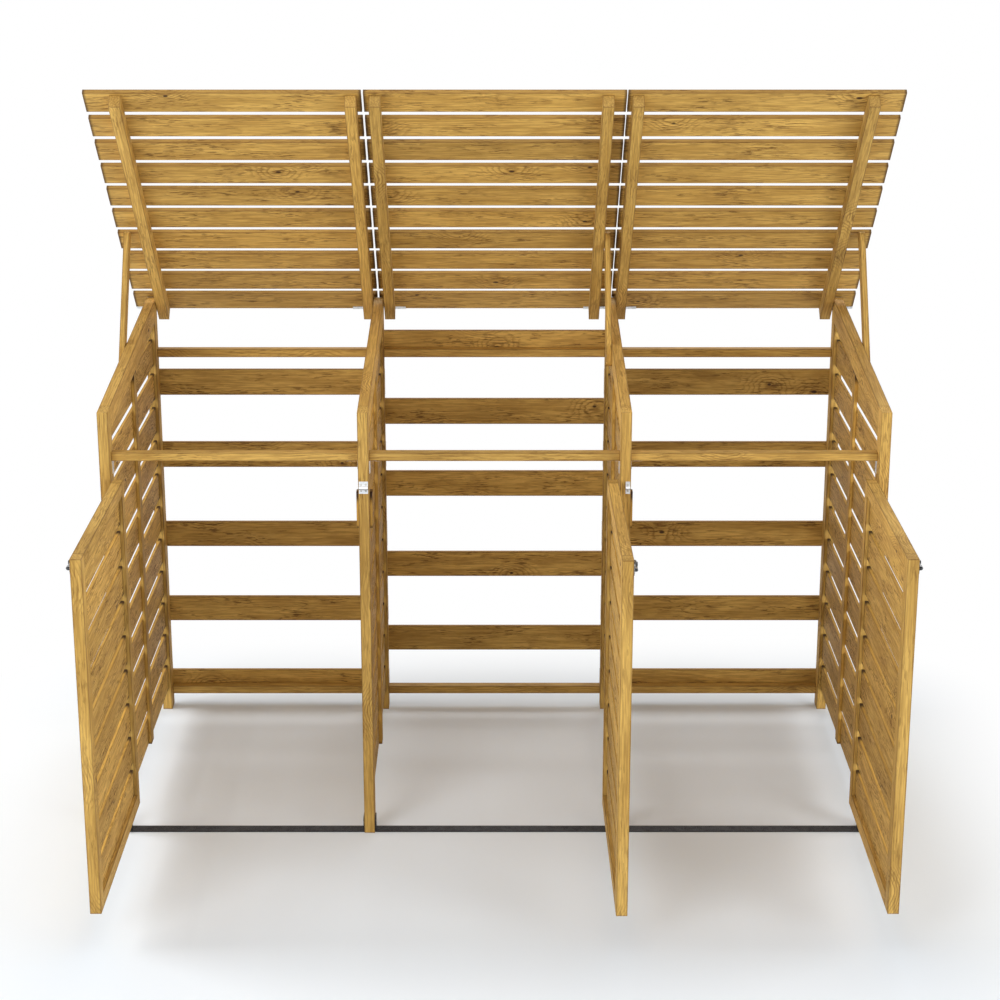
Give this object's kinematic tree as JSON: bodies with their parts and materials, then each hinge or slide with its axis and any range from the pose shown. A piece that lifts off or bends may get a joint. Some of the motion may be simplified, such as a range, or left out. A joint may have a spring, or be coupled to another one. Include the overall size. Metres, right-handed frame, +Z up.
{
  "type": "wheelie bin store",
  "caption": "Slatted softwood store for wheeled bins, with propped lids above and framed slatted doors in front.",
  "frame": {"origin": "on the ground, at the middle of the front, between the two dividers' front faces", "axes": "+X to the right across the front, +Y from the front to the back, +Z up"},
  "size_m": [2.118, 1.6273, 1.9712],
  "materials": {
    "timber": "oiled softwood",
    "zinc": "bright zinc plate",
    "dark_steel": "dull dark steel",
    "screws": "passivated screws"
  },
  "bodies": {
    "frame": {"angle_brackets": "zinc", "back_rails": "timber", "door_hinge_leaves": "zinc", "door_hinge_pins": "zinc", "door_stops": "timber", "frame_screws": "screws", "front_bars": "timber", "keep_plates": "zinc", "left_back_slats": "timber", "left_divider_posts": "timber", "left_divider_slats": "timber", "left_divider_top_rail": "timber", "left_wall_posts": "timber", "left_wall_slats": "timber", "left_wall_top_rail": "timber", "lid_hinge_leaves": "zinc", "lid_hinge_pins": "zinc", "middle_back_slats": "timber", "prop_pivots": "screws", "right_back_slats": "timber", "right_divider_posts": "timber", "right_divider_slats": "timber", "right_divider_top_rail": "timber", "right_wall_posts": "timber", "right_wall_slats": "timber", "right_wall_top_rail": "timber", "tie_strips": "dark_steel", "wall_battens": "timber"},
    "left_lid": {"left_lid_battens": "timber", "left_lid_hinge_straps": "zinc", "left_lid_slats": "timber"},
    "left_door": {"left_door_bolt_body": "zinc", "left_door_frame": "timber", "left_door_hinge_leaves": "zinc", "left_door_screws": "screws", "left_door_slats": "timber"},
    "left_bolt": {"left_door_bolt_rod": "zinc"},
    "left_stay": {"left_prop": "timber"},
    "middle_lid": {"middle_lid_battens": "timber", "middle_lid_hinge_straps": "zinc", "middle_lid_slats": "timber"},
    "middle_door": {"middle_door_bolt_body": "zinc", "middle_door_frame": "timber", "middle_door_hinge_leaves": "zinc", "middle_door_screws": "screws", "middle_door_slats": "timber"},
    "middle_bolt": {"middle_door_bolt_rod": "zinc"},
    "middle_stay": {"middle_prop": "timber"},
    "right_lid": {"right_lid_battens": "timber", "right_lid_hinge_straps": "zinc", "right_lid_slats": "timber"},
    "right_door": {"right_door_bolt_body": "zinc", "right_door_frame": "timber", "right_door_hinge_leaves": "zinc", "right_door_screws": "screws", "right_door_slats": "timber"},
    "right_bolt": {"right_door_bolt_rod": "zinc"},
    "right_stay": {"right_prop": "timber"}
  },
  "joints": [
    {"name": "left_lid_hinge", "type": "hinge", "parent": "frame", "child": "left_lid", "pos_m": [0, 0.9215, 1.27858], "axis": [1, 0, 0], "range_deg": [0, 51.67]},
    {"name": "left_prop_pivot", "type": "hinge", "parent": "frame", "child": "left_stay", "pos_m": [0, 0.503, 1.20646], "axis": [1, 0, 0], "range_deg": [0, 211]},
    {"name": "middle_lid_hinge", "type": "hinge", "parent": "frame", "child": "middle_lid", "pos_m": [0, 0.9215, 1.27858], "axis": [1, 0, 0], "range_deg": [0, 51.67]},
    {"name": "middle_prop_pivot", "type": "hinge", "parent": "frame", "child": "middle_stay", "pos_m": [0, 0.503, 1.20646], "axis": [1, 0, 0], "range_deg": [0, 211]},
    {"name": "right_lid_hinge", "type": "hinge", "parent": "frame", "child": "right_lid", "pos_m": [0, 0.9215, 1.27858], "axis": [1, 0, 0], "range_deg": [0, 51.67]},
    {"name": "right_prop_pivot", "type": "hinge", "parent": "frame", "child": "right_stay", "pos_m": [0, 0.503, 1.20646], "axis": [1, 0, 0], "range_deg": [0, 211]},
    {"name": "left_door_hinge", "type": "hinge", "parent": "frame", "child": "left_door", "pos_m": [-0.9905, -0.0045, 0], "axis": [0, 0, 1], "range_deg": [-90, 90]},
    {"name": "left_bolt_slide", "type": "slide", "parent": "left_door", "child": "left_bolt", "axis": [0, -1, 0], "range_m": [0, 0.019]},
    {"name": "middle_door_hinge", "type": "hinge", "parent": "frame", "child": "middle_door", "pos_m": [0.3235, -0.0045, 0], "axis": [0, 0, -1], "range_deg": [-20, 90.4]},
    {"name": "middle_bolt_slide", "type": "slide", "parent": "middle_door", "child": "middle_bolt", "axis": [0.007, -1, 0], "range_m": [0, 0.019]},
    {"name": "right_door_hinge", "type": "hinge", "parent": "frame", "child": "right_door", "pos_m": [0.9905, -0.0045, 0], "axis": [0, 0, -1], "range_deg": [-90, 90]},
    {"name": "right_bolt_slide", "type": "slide", "parent": "right_door", "child": "right_bolt", "axis": [0, -1, 0], "range_m": [0, 0.019]}
  ],
  "couplings": [
    {"joint": "left_prop_pivot", "follows": "left_lid_hinge", "ratio": 4.0813},
    {"joint": "middle_prop_pivot", "follows": "middle_lid_hinge", "ratio": 4.0813},
    {"joint": "right_prop_pivot", "follows": "right_lid_hinge", "ratio": 4.0813}
  ]
}
